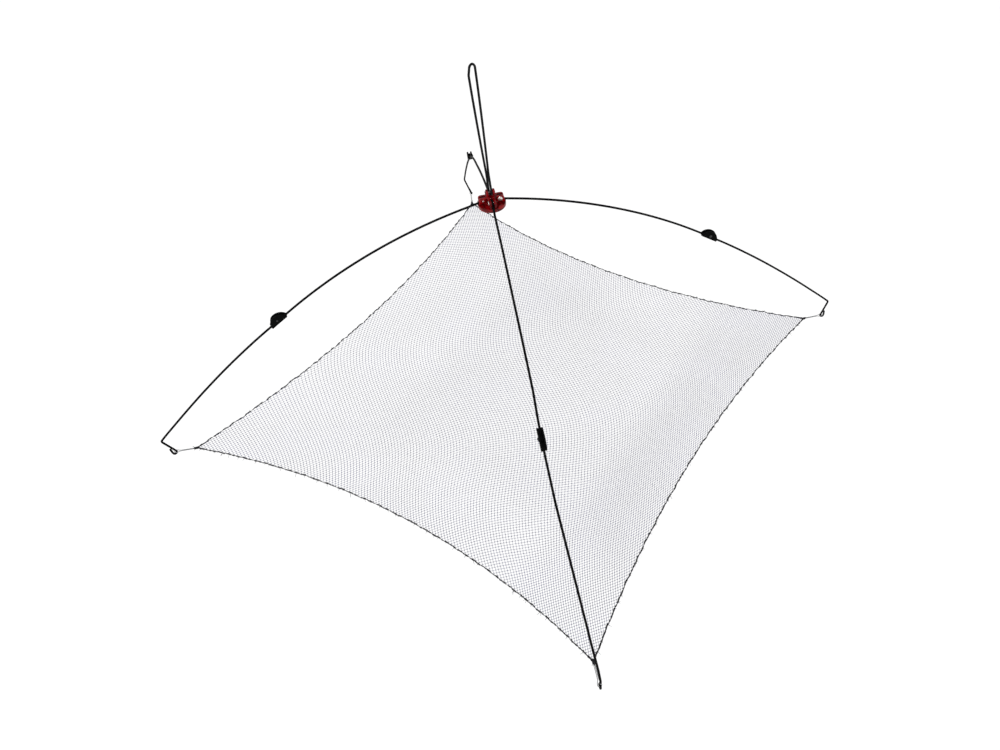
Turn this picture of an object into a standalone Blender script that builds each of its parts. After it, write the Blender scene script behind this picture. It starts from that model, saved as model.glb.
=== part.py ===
"""Folding square lift net, hanging by its carrying loop.

Metres, +Z up. The origin is where the line above holds the loop: the underside of the loop's crown.
The front arm points along +X, the right arm along +Y. Each arm is drawn once in its own upright plane
(run outwards, height above the hub pin) and turned about +Z to its place.
"""
import bpy
import bmesh
from math import sin, cos, tan, atan2, hypot, pi, radians
from mathutils import Vector, Matrix

for ob in list(bpy.data.objects):
    bpy.data.objects.remove(ob, do_unlink=True)

# Clearances and the overrun that every cut uses
GAP = 0.0003
OVERRUN = 0.004

# Steel wire and pins
ROD_D = 0.0040
PIN_D = 0.0038
PIN_HEAD_T = 0.0013
PIN_TAIL = 0.0006
HUB_PIN_HEAD_D = 0.0096
CLIP_PIN_HEAD_D = 0.0064
# Outline of a pin's domed head, as shares of its radius and of its height
PIN_DOME_shares = ((1.00, 0.40), (0.76, 0.85), (0.40, 1.00))

# Hub
HINGE_DROP = 0.2731
HINGE_RADIUS = 0.0160
BASE_D = 0.0545
BASE_T = 0.0078
BASE_EDGE = 0.0018
RIM_W = 0.0018
RIM_H = 0.0010
TOWER_R = 0.0085
TOWER_TOP = 0.0062
TOWER_ROUND = 0.0050
CHEEK_T = 0.0044
POST_D = 0.0216
BOSS_D = 0.0290
BOSS_DROP = 0.0035
EAR_T = 0.0046
EAR_SINK = 0.0030
EAR_R = 0.0062
CROWN_PIN_D = 0.0040
CROWN_PIN_H = 0.0138

# Arms, in their own plane: where the clip and the bend lie, seen from the hub pin
CLIP_RUN = 0.4290
CLIP_FALL = 0.1917
BEND_RUN = 0.7490
BEND_FALL = 0.4672
BEND_R = 0.0060
LEG_L = 0.0400
TIP_EYE_R = 0.0032
TIP_EYE_L = 0.0125
START_TILT = radians(-10.3)
CLIP_TILT = radians(-35.1)
BEND_TILT = radians(-45.0)
LEG_TILT = radians(-104.0)
EYE_WRAP = radians(285)

# Fold clip
CLIP_L = 0.0410
CLIP_SHIFT = 0.0010
CLIP_W = 0.0114
CLIP_FLOOR = 0.0012
CLIP_EDGE = 0.0010
CLIP_H = 0.0180
# Outline of the clip above its flat side, as shares of its half length and of its height
CLIP_OUTLINE_shares = (
    (-1.00, 0.00), (-1.00, 0.19), (-0.93, 0.42), (-0.80, 0.64), (-0.59, 0.83), (-0.32, 0.96), (-0.02, 1.00),
    (0.27, 0.96), (0.51, 0.83), (0.72, 0.63), (0.89, 0.39), (0.99, 0.18), (1.00, 0.00),
)

# Net, its ropes and its ties
CORNER_RADIUS = 0.7071
NET_FALL = 0.5087
FRONT_RIGHT_DRAW = 0.0480
RIGHT_BACK_DRAW = 0.0740
BACK_LEFT_DRAW = 0.0550
LEFT_FRONT_DRAW = 0.0750
NET_SAG = 0.0900
NET_CORNER_TRIM = 0.0063
NET_BAR_W = 0.0022
NET_BAR_T = 0.0020
NET_STEPS = 20
EDGE_ROPE_D = 0.0028
KNOT_L = 0.0120
KNOT_D = 0.0060
KNOT_SHIFT = 0.0004
ROPE_END = 0.0054
TIE_D = 0.0014
# The tie's strands: where they pass halfway from the knot to the eye, and how they close behind the eye
TIE_HALFWAY_share = 0.45
TIE_SPREAD_share = 0.50
TIE_CLOSE_share = 0.20
TIE_BIGHT_share = 0.15

# Carrying loop
LOOP_D = 0.0038
LOOP_CROWN_R = 0.0064
LOOP_MERGE = 0.0573
LOOP_BULGE_POWER = 1.5

# Named results of the sizes above
ROD_R = ROD_D / 2
PIN_R = PIN_D / 2
EYE_R = PIN_R + GAP + ROD_R
SLOT_W = ROD_D + 2 * GAP
HOLE_R = PIN_R + GAP
TOWER_W = SLOT_W + 2 * CHEEK_T
LOOP_R = LOOP_D / 2
LOOP_WRAP_R = CROWN_PIN_D / 2 + GAP + LOOP_R
STRAND_Y = LOOP_R + GAP / 2
EAR_INNER = STRAND_Y + LOOP_R + GAP
POST_TOP = CROWN_PIN_H - LOOP_WRAP_R - LOOP_R - GAP
HUB_Z = -HINGE_DROP
ARMS = (("front", 0), ("right", 1), ("back", 2), ("left", 3))
EDGE_DRAWS = (FRONT_RIGHT_DRAW, RIGHT_BACK_DRAW, BACK_LEFT_DRAW, LEFT_FRONT_DRAW)


def material(name, colour, rough, metal=0.0):
    """A plain Principled material."""
    m = bpy.data.materials.new(name)
    m.use_nodes = True
    p = m.node_tree.nodes["Principled BSDF"]
    p.inputs["Base Color"].default_value = (*colour, 1.0)
    p.inputs["Roughness"].default_value = rough
    p.inputs["Metallic"].default_value = metal
    m.diffuse_color = (*colour, 1.0)
    return m


RED = material("red_plastic", (0.42, 0.01, 0.02), 0.25)
BLACK = material("black_plastic", (0.012, 0.012, 0.012), 0.4)
DARK_STEEL = material("dark_spring_steel", (0.03, 0.03, 0.03), 0.35, 0.8)
BRIGHT_STEEL = material("bright_steel", (0.75, 0.74, 0.72), 0.25, 1.0)
NETTING = material("dark_netting", (0.07, 0.07, 0.09), 0.6)
BLACK_CORD = material("black_cord", (0.015, 0.015, 0.015), 0.8)
PALE_CORD = material("pale_cord", (0.62, 0.62, 0.62), 0.6)


def link(ob, mat):
    """Put an object in the scene with its one material."""
    bpy.context.scene.collection.objects.link(ob)
    ob.data.materials.clear()
    ob.data.materials.append(mat)
    return ob


def turned(k):
    """Turn about +Z from the front arm to arm k."""
    return Matrix.Rotation(k * pi / 2, 4, "Z")


def add_tube(name, points, radius, mat, origin=Vector((0, 0, 0)), resolution=2):
    """A closed tube along points, with its object origin at the given place."""
    data = bpy.data.curves.new(name, "CURVE")
    data.dimensions = "3D"
    data.bevel_depth = radius
    data.bevel_resolution = resolution
    data.render_resolution_u = 0
    data.use_fill_caps = True
    spline = data.splines.new("POLY")
    spline.points.add(len(points) - 1)
    for p, q in zip(spline.points, points):
        p.co = (*(Vector(q) - origin), 1.0)
    ob = bpy.data.objects.new(name, data)
    ob.location = origin
    return link(ob, mat)


def mesh_object(name, bm):
    """A temporary object that holds a bmesh, with its faces outward."""
    bmesh.ops.recalc_face_normals(bm, faces=bm.faces)
    me = bpy.data.meshes.new(name)
    bm.to_mesh(me)
    bm.free()
    ob = bpy.data.objects.new(name, me)
    bpy.context.scene.collection.objects.link(ob)
    return ob


def baked(ob):
    """Replace an object's mesh by the result of its modifiers."""
    dg = bpy.context.evaluated_depsgraph_get()
    me = bpy.data.meshes.new_from_object(ob.evaluated_get(dg))
    ob.modifiers.clear()
    ob.data = me
    return ob


def combine(ob, other, operation):
    """One exact boolean and a weld of its slivers, after which the other object is gone."""
    m = ob.modifiers.new(operation, "BOOLEAN")
    m.operation = operation
    m.solver = "EXACT"
    m.object = other
    baked(ob)
    bpy.data.objects.remove(other, do_unlink=True)
    bm = bmesh.new()
    bm.from_mesh(ob.data)
    bmesh.ops.remove_doubles(bm, verts=bm.verts, dist=GAP / 10)
    bm.to_mesh(ob.data)
    bm.free()
    return ob


def prism(name, outline, low, high, place=Matrix.Identity(4)):
    """An outline in x and z, swept along y from low to high, then placed."""
    bm = bmesh.new()
    near = [bm.verts.new(place @ Vector((x, low, z))) for x, z in outline]
    far = [bm.verts.new(place @ Vector((x, high, z))) for x, z in outline]
    bm.faces.new(near)
    bm.faces.new(far[::-1])
    n = len(outline)
    for i in range(n):
        bm.faces.new((near[i], far[i], far[(i + 1) % n], near[(i + 1) % n]))
    return mesh_object(name, bm)


def turned_solid(name, profile, steps, place=Matrix.Identity(4)):
    """A profile of (radius, height) pairs revolved about z, closed flat at both ends, then placed."""
    bm = bmesh.new()
    rings = []
    for r, z in profile:
        ring = [(r * cos(2 * pi * i / steps), r * sin(2 * pi * i / steps), z) for i in range(steps)]
        rings.append([bm.verts.new(place @ Vector(p)) for p in ring])
    for a, b in zip(rings, rings[1:]):
        for i in range(steps):
            j = (i + 1) % steps
            bm.faces.new((a[i], a[j], b[j], b[i]))
    bm.faces.new(rings[0][::-1])
    bm.faces.new(rings[-1])
    return mesh_object(name, bm)


def arc(centre, radius, start, sweep, steps):
    """Points on an arc in a plane, both ends included."""
    angles = [start + sweep * i / steps for i in range(steps + 1)]
    return [(centre[0] + radius * cos(a), centre[1] + radius * sin(a)) for a in angles]


def direction(tilt):
    """A unit step at a tilt in the arm's plane."""
    return Vector((cos(tilt), sin(tilt)))


def bowed(a, tilt_a, b, tilt_b, steps):
    """A springy curve from a to b that leaves and arrives at the given tilts, ends included."""
    reach = (b - a).length / 3
    p, q = a + reach * direction(tilt_a), b - reach * direction(tilt_b)
    out = []
    for i in range(steps + 1):
        t = i / steps
        s = 1 - t
        out.append(s * s * s * a + 3 * s * s * t * p + 3 * s * t * t * q + t * t * t * b)
    return out


def smooth_route(route, steps):
    """A smooth curve through the route's own points, steps per stretch."""
    pts = [Vector(p) for p in route]
    pts = [2 * pts[0] - pts[1]] + pts + [2 * pts[-1] - pts[-2]]
    out = []
    for a, b, c, d in zip(pts, pts[1:], pts[2:], pts[3:]):
        for i in range(steps):
            t = i / steps
            bend = (2 * a - 5 * b + 4 * c - d) + t * (3 * b - a - 3 * c + d)
            out.append(b + t / 2 * ((c - a) + t * bend))
    return out + [pts[-2]]


# Places in the arm's plane, from the hub pin: the rod's tangent points and the clip's pin
HUB_TANGENT = EYE_R * Vector((sin(START_TILT), -cos(START_TILT)))
CLIP_DIR = direction(CLIP_TILT)
CLIP_UP = Vector((-sin(CLIP_TILT), cos(CLIP_TILT)))
CLIP_ROD = Vector((CLIP_RUN, -CLIP_FALL))
CLIP_PIN = CLIP_ROD + EYE_R * CLIP_UP
CLIP_STRAIGHT = CLIP_L / 2 + CLIP_SHIFT + ROD_R
BEND = Vector((BEND_RUN, -BEND_FALL))


def in_world(point, k, side=0):
    """An arm-plane point of arm k in world coordinates, side metres to the left of the way out."""
    return turned(k) @ Vector((HINGE_RADIUS + point[0], side, HUB_Z + point[1]))


def inner_rod_points():
    """The inner rod: eye round the hub pin, springy run, straight stretch in the clip, eye round its pin."""
    first = arc((0, 0), EYE_R, START_TILT - pi / 2 - EYE_WRAP, EYE_WRAP, 11)
    run = bowed(HUB_TANGENT, START_TILT, CLIP_ROD - CLIP_STRAIGHT * CLIP_DIR, CLIP_TILT, 13)
    last = arc(CLIP_PIN, EYE_R, CLIP_TILT - pi / 2, EYE_WRAP, 11)
    return first[:-1] + [tuple(p) for p in run] + last


def outer_rod_points():
    """The outer rod: straight stretch held in the clip, springy run, bend, leg and the narrow eye."""
    start = CLIP_ROD + (EYE_R + ROD_R + 3 * GAP) * CLIP_DIR
    turn = BEND_TILT - LEG_TILT
    cut_back = BEND_R * tan(turn / 2)
    into, leg = direction(BEND_TILT), direction(LEG_TILT)
    run = bowed(CLIP_ROD + CLIP_STRAIGHT * CLIP_DIR, CLIP_TILT, BEND - cut_back * into, BEND_TILT, 12)
    middle = run[-1] + BEND_R * Vector((sin(BEND_TILT), -cos(BEND_TILT)))
    bend = arc(middle, BEND_R, BEND_TILT + pi / 2, -turn, 4)
    end = BEND + LEG_L * leg
    out = Vector((-leg[1], leg[0]))
    eye = arc(end + TIP_EYE_R * out, TIP_EYE_R, LEG_TILT - pi / 2, pi, 7)
    touch = end + (ROD_D + GAP) * out - TIP_EYE_L * leg
    back = bowed(Vector(eye[-1]), LEG_TILT + pi, touch, LEG_TILT + pi + radians(14), 4)
    pts = [start] + run + [Vector(p) for p in bend[1:]] + [Vector(p) for p in eye] + back[1:]
    return [tuple(p) for p in pts]


def rod_underside(run):
    """How far the straight start of the inner rod's underside lies below the hub pin, at a run."""
    return HUB_TANGENT[1] + (run - HUB_TANGENT[0]) * tan(START_TILT) - ROD_R / cos(START_TILT)


# Hub: base that the rods rest on, boss, four forked towers, post and two ears, then slots and holes
BASE_R = BASE_D / 2
BASE_TOP = rod_underside(BASE_R - HINGE_RADIUS) - GAP
BASE_BOTTOM = BASE_TOP - BASE_T


def raised(z):
    """Move up or down from the hub pin's height to the world."""
    return Matrix.Translation((0, 0, HUB_Z + z))


def make_hub():
    base = turned_solid(
        "hub_body",
        (
            (BASE_R - BASE_EDGE, BASE_BOTTOM),
            (BASE_R - BASE_EDGE * (1 - sin(pi / 4)), BASE_BOTTOM + BASE_EDGE * (1 - cos(pi / 4))),
            (BASE_R, BASE_BOTTOM + BASE_EDGE), (BASE_R, BASE_TOP + RIM_H / 2),
            (BASE_R - RIM_W / 3, BASE_TOP + RIM_H), (BASE_R - RIM_W + RIM_W / 3, BASE_TOP + RIM_H),
            (BASE_R - RIM_W, BASE_TOP),
        ),
        48,
        raised(0),
    )
    sink = BASE_T / 2
    boss = turned_solid(
        "boss",
        ((BOSS_D / 2, BASE_TOP - sink), (BOSS_D / 2, -BOSS_DROP - BASE_EDGE),
         (BOSS_D / 2 - BASE_EDGE, -BOSS_DROP)),
        32,
        raised(0),
    )
    combine(base, boss, "UNION")
    post = turned_solid(
        "post",
        ((POST_D / 2, BASE_TOP - sink), (POST_D / 2, POST_TOP)),
        24,
        raised(0),
    )
    combine(base, post, "UNION")
    outer, shoulder = HINGE_RADIUS + TOWER_R, TOWER_TOP - TOWER_ROUND
    tower = [(outer, BASE_TOP - sink), *arc((outer - TOWER_ROUND, shoulder), TOWER_ROUND, 0, pi / 2, 6),
             (HINGE_RADIUS - TOWER_R, TOWER_TOP), (HINGE_RADIUS - TOWER_R, BASE_TOP - sink)]
    for _, k in ARMS:
        combine(base, prism("tower", tower, -TOWER_W / 2, TOWER_W / 2, turned(k) @ raised(0)), "UNION")
    foot = POST_TOP - EAR_SINK
    ear = [(EAR_R, foot), *arc((0, CROWN_PIN_H), EAR_R, 0, pi, 10), (-EAR_R, foot)]
    for side in (1, -1):
        low, high = sorted((side * EAR_INNER, side * (EAR_INNER + EAR_T)))
        combine(base, prism("ear", ear, low, high, raised(0)), "UNION")
    inner = HINGE_RADIUS - EYE_R - ROD_R - 2 * GAP
    slot = [(inner, BASE_TOP), (BASE_R + OVERRUN, BASE_TOP), (BASE_R + OVERRUN, TOWER_R + OVERRUN),
            (inner, TOWER_R + OVERRUN)]
    for _, k in ARMS:
        place = turned(k) @ raised(0)
        combine(base, prism("slot", slot, -SLOT_W / 2, SLOT_W / 2, place), "DIFFERENCE")
        reach = TOWER_W / 2 + GAP
        across = place @ Matrix.Translation((HINGE_RADIUS, 0, 0)) @ Matrix.Rotation(pi / 2, 4, "X")
        hole = turned_solid("hole", ((HOLE_R, -reach), (HOLE_R, reach)), 16, across)
        combine(base, hole, "DIFFERENCE")
    reach = EAR_INNER + EAR_T + OVERRUN
    r = CROWN_PIN_D / 2 + GAP
    across = raised(CROWN_PIN_H) @ Matrix.Rotation(pi / 2, 4, "X")
    combine(base, turned_solid("hole", ((r, -reach), (r, reach)), 16, across), "DIFFERENCE")
    base.data.materials.clear()
    base.data.materials.append(RED)
    base.name = "hub_body"


def make_pin(name, place, radius, half, head_d, mat):
    """A headed pin along local z, head at the high end, tail just past the low side of what it crosses."""
    under = half + GAP
    low = -(half + PIN_TAIL)
    profile = (
        (radius - PIN_TAIL / 2, low), (radius, low + PIN_TAIL / 2), (radius, under), (head_d / 2, under),
        *((head_d / 2 * across, under + PIN_HEAD_T * up) for across, up in PIN_DOME_shares),
    )
    origin = place.to_translation()
    local = Matrix.Translation(-origin) @ place
    ob = turned_solid(name, profile, 14, local)
    ob.location = origin
    ob.data.materials.clear()
    ob.data.materials.append(mat)
    ob.name = name
    return ob


def make_clip(name, k):
    """A fold clip: D-shaped, forked over the inner rod's eye, closed round the outer rod.

    Its own frame has x along the rod, outwards, and z away from the flat side, with zero at the rod's
    axis beside the pin.
    """
    half = CLIP_L / 2
    rod_z = CLIP_FLOOR + GAP + ROD_R
    outline = [(CLIP_SHIFT + sx * half, sz * CLIP_H - rod_z) for sx, sz in CLIP_OUTLINE_shares]
    inner_end, outer_end = CLIP_SHIFT - half - OVERRUN, CLIP_SHIFT + half + OVERRUN
    body = prism(name, outline, -CLIP_W / 2, CLIP_W / 2)
    m = body.modifiers.new("edges", "BEVEL")
    m.width = CLIP_EDGE
    m.segments = 2
    m.limit_method = "ANGLE"
    m.angle_limit = radians(50)
    baked(body)
    clear = EYE_R + ROD_R + 2 * GAP
    floor = -(ROD_R + GAP)
    high = CLIP_H + OVERRUN
    slot = [(inner_end, floor), (clear, floor), (clear, high), (inner_end, high)]
    combine(body, prism("slot", slot, -SLOT_W / 2, SLOT_W / 2), "DIFFERENCE")
    # The folded inner rod lies as far above the pin as it lies below it when open
    groove_floor = 2 * EYE_R - ROD_R - GAP
    back = clear - ROD_R
    groove = [(back, groove_floor), (outer_end, groove_floor), (outer_end, high), (back, high)]
    combine(body, prism("groove", groove, -SLOT_W / 2, SLOT_W / 2), "DIFFERENCE")
    r, start, stop = ROD_R + GAP, clear - ROD_R, outer_end
    along = Matrix.Rotation(pi / 2, 4, "Y")
    combine(body, turned_solid("bore", ((r, start), (r, stop)), 12, along), "DIFFERENCE")
    reach = CLIP_W / 2 + OVERRUN
    across = Matrix.Translation((0, 0, EYE_R)) @ Matrix.Rotation(pi / 2, 4, "X")
    hole = turned_solid("hole", ((HOLE_R, -reach), (HOLE_R, reach)), 14, across)
    combine(body, hole, "DIFFERENCE")
    # From the clip's frame to the world, with the object's origin on the clip pin's axis
    origin = in_world(CLIP_PIN, k)
    put = (
        Matrix.Translation(-origin) @ turned(k)
        @ Matrix.Translation((HINGE_RADIUS + CLIP_ROD[0], 0, HUB_Z + CLIP_ROD[1]))
        @ Matrix.Rotation(-CLIP_TILT, 4, "Y")
    )
    body.data.transform(put)
    body.location = origin
    body.data.materials.clear()
    body.data.materials.append(BLACK)
    body.name = name


def edge_point(a, b, share, draw):
    """A point on a drawn-in side of the net, from corner a to corner b."""
    middle = (a + b) / 2
    inward = -Vector((middle[0], middle[1], 0)).normalized()
    return (1 - share) * a + share * b + inward * draw * 4 * share * (1 - share)


def corner(k, radius):
    """A corner of the net, under arm k."""
    return turned(k) @ Vector((radius, 0, HUB_Z - NET_FALL))


def net_draw(draw):
    """How far the panel's own side is drawn in, to lie just inside its rope, which is drawn in by draw."""
    radius = CORNER_RADIUS - NET_CORNER_TRIM
    chord = draw * (2 / NET_STEPS) ** 2
    side = CORNER_RADIUS * cos(pi / 4) - draw - EDGE_ROPE_D / 2 - chord - GAP
    return radius * cos(pi / 4) - side


def net_point(s, t):
    """A point of the sagging panel, between its four drawn-in sides."""
    f, r, b, l = (corner(k, CORNER_RADIUS - NET_CORNER_TRIM) for k in range(4))
    front_right, right_back, back_left, left_front = (net_draw(d) for d in EDGE_DRAWS)
    p = (
        (1 - t) * edge_point(f, r, s, front_right) + t * edge_point(l, b, s, back_left)
        + (1 - s) * edge_point(f, l, t, left_front) + s * edge_point(r, b, t, right_back)
        - (1 - s) * (1 - t) * f - s * (1 - t) * r - s * t * b - (1 - s) * t * l
    )
    return p - Vector((0, 0, NET_SAG * 16 * s * (1 - s) * t * (1 - t)))


def make_net():
    """The net as one open lattice, its bars along the diagonals as the real threads run."""
    bm = bmesh.new()
    n = NET_STEPS
    verts = {(i, j): bm.verts.new(net_point(i / n, j / n))
             for i in range(n + 1) for j in range(n + 1) if (i + j) % 2 == 0}
    for i in range(n + 1):
        for j in range(n + 1):
            if (i + j) % 2:
                ring = [(i - 1, j), (i, j - 1), (i + 1, j), (i, j + 1)]
                bm.faces.new([verts[q] for q in ring if q in verts])
    bm.normal_update()
    cells = list(bm.faces)
    bmesh.ops.inset_individual(bm, faces=cells, thickness=NET_BAR_W / 2, use_even_offset=True)
    bmesh.ops.delete(bm, geom=cells, context="FACES")
    bmesh.ops.recalc_face_normals(bm, faces=bm.faces)
    ob = mesh_object("net_panel", bm)
    m = ob.modifiers.new("thread", "SOLIDIFY")
    m.thickness = NET_BAR_T
    m.offset = 0
    m.use_even_offset = False
    baked(ob)
    ob.data.materials.clear()
    ob.data.materials.append(NETTING)
    ob.name = "net_panel"


def make_edge_rope(name, k):
    a, b = corner(k, CORNER_RADIUS), corner(k + 1, CORNER_RADIUS)
    end = ROPE_END / (b - a).length
    steps = 32
    shares = [end + (1 - 2 * end) * i / steps for i in range(steps + 1)]
    add_tube(name, [edge_point(a, b, s, EDGE_DRAWS[k]) for s in shares], EDGE_ROPE_D / 2, BLACK_CORD)


def make_knot(name, k):
    origin = corner(k, CORNER_RADIUS + KNOT_SHIFT)
    profile = [(KNOT_D / 2 * sin(pi * i / 8), -KNOT_L / 2 * cos(pi * i / 8)) for i in range(1, 8)]
    ob = turned_solid(name, profile, 10, turned(k) @ Matrix.Rotation(pi / 2, 4, "Y"))
    ob.location = origin
    ob.data.materials.clear()
    ob.data.materials.append(BLACK_CORD)
    ob.name = name


def make_tie(name, k):
    """A doubled cord: from the knot, beside the leg, through the tip eye and back."""
    leg = direction(LEG_TILT)
    out = Vector((-leg[1], leg[0]))
    eye = BEND + LEG_L * leg + TIP_EYE_R * out + (TIP_EYE_R - ROD_R) / 4 * leg
    knot = Vector((CORNER_RADIUS + KNOT_SHIFT + KNOT_L / 2 + GAP - HINGE_RADIUS, -NET_FALL))
    side = ROD_R + TIE_D / 2 + 2 * GAP
    near = TIE_D / 2 + GAP
    step = eye - knot
    beside = knot + step * ((step.length - TIP_EYE_R - ROD_R) / step.length)
    halfway = knot + TIE_HALFWAY_share * step
    route = [(knot, near), (halfway, near + TIE_SPREAD_share * (side - near)), (beside, side),
             (eye - TIE_CLOSE_share * TIP_EYE_R * out, side)]
    half = [in_world(p, k, s) for p, s in route]
    mirror = [in_world(p, k, -s) for p, s in reversed(route)]
    middle = [in_world(eye + TIE_BIGHT_share * ROD_R * out, k, 0)]
    add_tube(name, smooth_route(half + middle + mirror, 3), TIE_D / 2, PALE_CORD, in_world(CLIP_PIN, k))


def make_loop():
    """The carrying loop: two strands from under the crown pin, side by side, opening to the crown."""
    pin_z = HUB_Z + CROWN_PIN_H
    split = radians(4)
    wrap = 6
    side_a = []
    for i in range(wrap + 1):
        a = -pi / 2 + split + (pi / 2 - split) * i / wrap
        y = STRAND_Y * sin((a + pi / 2) / 2) / sin(pi / 4)
        side_a.append(Vector((LOOP_WRAP_R * cos(a), y, pin_z + LOOP_WRAP_R * sin(a))))
    crown_z = LOOP_R - LOOP_CROWN_R
    merge_z = HUB_Z + LOOP_MERGE
    join = 5
    for i in range(1, join + 1):
        t = i / join
        z = pin_z + (merge_z - pin_z) * t
        side_a.append(Vector((LOOP_WRAP_R * (1 + cos(pi * t)) / 2, STRAND_Y, z)))
    rise = 12
    for i in range(1, rise + 1):
        t = i / rise
        y = STRAND_Y + (LOOP_CROWN_R - STRAND_Y) * (1 - (1 - t) ** LOOP_BULGE_POWER)
        side_a.append(Vector((0, y, merge_z + (crown_z - merge_z) * t)))
    crown = [Vector((0, y, z)) for y, z in arc((0, crown_z), LOOP_CROWN_R, 0, pi, 8)][1:-1]
    side_b = [Vector((-p[0], -p[1], p[2])) for p in reversed(side_a)]
    add_tube("carry_loop", side_a + crown + side_b, LOOP_R, BLACK_CORD)


make_hub()
make_loop()
make_net()
# The crown pin crosses the ears; its ends stand a little proud of them
half = EAR_INNER + EAR_T
make_pin("crown_pin", raised(CROWN_PIN_H) @ Matrix.Rotation(pi / 2, 4, "X"), CROWN_PIN_D / 2, half,
         CROWN_PIN_D + 2 * PIN_HEAD_T, BRIGHT_STEEL)
NEXT = {"front": "right", "right": "back", "back": "left", "left": "front"}
for arm, k in ARMS:
    across = Matrix.Rotation(pi / 2, 4, "X")
    at_hub = turned(k) @ raised(0) @ Matrix.Translation((HINGE_RADIUS, 0, 0)) @ across
    make_pin("hub_pin_" + arm, at_hub, PIN_R, TOWER_W / 2, HUB_PIN_HEAD_D, BRIGHT_STEEL)
    at_clip = Matrix.Translation(in_world(CLIP_PIN, k)) @ turned(k) @ across
    make_pin("clip_pin_" + arm, at_clip, PIN_R, CLIP_W / 2, CLIP_PIN_HEAD_D, BLACK)
    inner = [in_world(p, k) for p in inner_rod_points()]
    add_tube("inner_rod_" + arm, inner, ROD_R, DARK_STEEL, in_world((0, 0), k))
    outer = [in_world(p, k) for p in outer_rod_points()]
    add_tube("outer_rod_" + arm, outer, ROD_R, DARK_STEEL, in_world(CLIP_PIN, k))
    make_clip("fold_clip_" + arm, k)
    make_tie("corner_tie_" + arm, k)
    make_knot("corner_knot_" + arm, k)
    make_edge_rope("edge_rope_" + arm + "_" + NEXT[arm], k)
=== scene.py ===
from math import cos, pi, radians, sin, tan

import bpy
import numpy as np
from mathutils import Matrix, Vector


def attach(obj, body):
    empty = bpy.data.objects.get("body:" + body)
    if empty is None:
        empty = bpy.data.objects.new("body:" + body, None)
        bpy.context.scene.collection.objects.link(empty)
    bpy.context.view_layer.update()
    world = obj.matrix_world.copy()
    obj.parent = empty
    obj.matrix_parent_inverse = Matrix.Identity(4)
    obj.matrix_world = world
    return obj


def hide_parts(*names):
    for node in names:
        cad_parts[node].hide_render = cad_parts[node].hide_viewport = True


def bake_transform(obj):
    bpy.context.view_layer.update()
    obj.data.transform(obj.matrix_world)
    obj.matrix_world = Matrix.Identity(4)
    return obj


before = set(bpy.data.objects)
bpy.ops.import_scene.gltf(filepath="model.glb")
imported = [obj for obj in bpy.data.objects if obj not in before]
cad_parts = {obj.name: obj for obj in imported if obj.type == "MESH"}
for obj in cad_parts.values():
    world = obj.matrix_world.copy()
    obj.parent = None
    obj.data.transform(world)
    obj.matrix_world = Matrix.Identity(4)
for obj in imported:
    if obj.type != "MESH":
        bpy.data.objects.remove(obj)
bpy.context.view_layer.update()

ARMS = (("front", 0), ("right", 1), ("back", 2), ("left", 3))

# Sizes, the same as in the part's source
GAP = 0.0003
ROD_R, PIN_R = 0.0020, 0.0019
HEAD_T, TAIL = 0.0013, 0.0006
HUB_HEAD_D, CLIP_HEAD_D = 0.0096, 0.0064
EYE_R = PIN_R + GAP + ROD_R
SLOT_W = 2 * ROD_R + 2 * GAP
HUB_Z, HINGE_RADIUS = -0.2731, 0.0160
BASE_R, BASE_T, RIM_W, RIM_H = 0.02725, 0.0078, 0.0018, 0.0010
TOWER_R, TOWER_W, TOWER_TOP, TOWER_ROUND = 0.0085, 0.0134, 0.0062, 0.0050
POST_R, BOSS_R, BOSS_TOP = 0.0108, 0.0145, -0.0035
EAR_T, EAR_SINK, EAR_R, CROWN_PIN_R, CROWN_PIN_H = 0.0046, 0.0030, 0.0062, 0.0020, 0.0138
LOOP_R, LOOP_CROWN_R, LOOP_MERGE = 0.0019, 0.0064, 0.0573
LOOP_WRAP_R = CROWN_PIN_R + GAP + LOOP_R
STRAND_Y = LOOP_R + GAP / 2
EAR_INNER = STRAND_Y + LOOP_R + GAP
POST_TOP = CROWN_PIN_H - LOOP_WRAP_R - LOOP_R - GAP
START_TILT, CLIP_TILT = radians(-10.3), radians(-35.1)
BEND_TILT, EYE_WRAP = radians(-45.0), radians(285)
CLIP_L, CLIP_SHIFT, CLIP_W, CLIP_FLOOR, CLIP_H = 0.0410, 0.0010, 0.0114, 0.0012, 0.0180
CLIP_OUTLINE_shares = (
    (-1.00, 0.00), (-1.00, 0.19), (-0.93, 0.42), (-0.80, 0.64), (-0.59, 0.83), (-0.32, 0.96), (-0.02, 1.00),
    (0.27, 0.96), (0.51, 0.83), (0.72, 0.63), (0.89, 0.39), (0.99, 0.18), (1.00, 0.00),
)
CORNER_RADIUS, NET_FALL, NET_SAG = 0.7071, 0.5087, 0.0900
KNOT_SHIFT, KNOT_L, TIE_R = 0.0004, 0.0120, 0.0007
# How far each side of the net is drawn in at its middle, from front-right round to left-front
EDGE_DRAWS = (0.048, 0.074, 0.055, 0.075)

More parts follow.
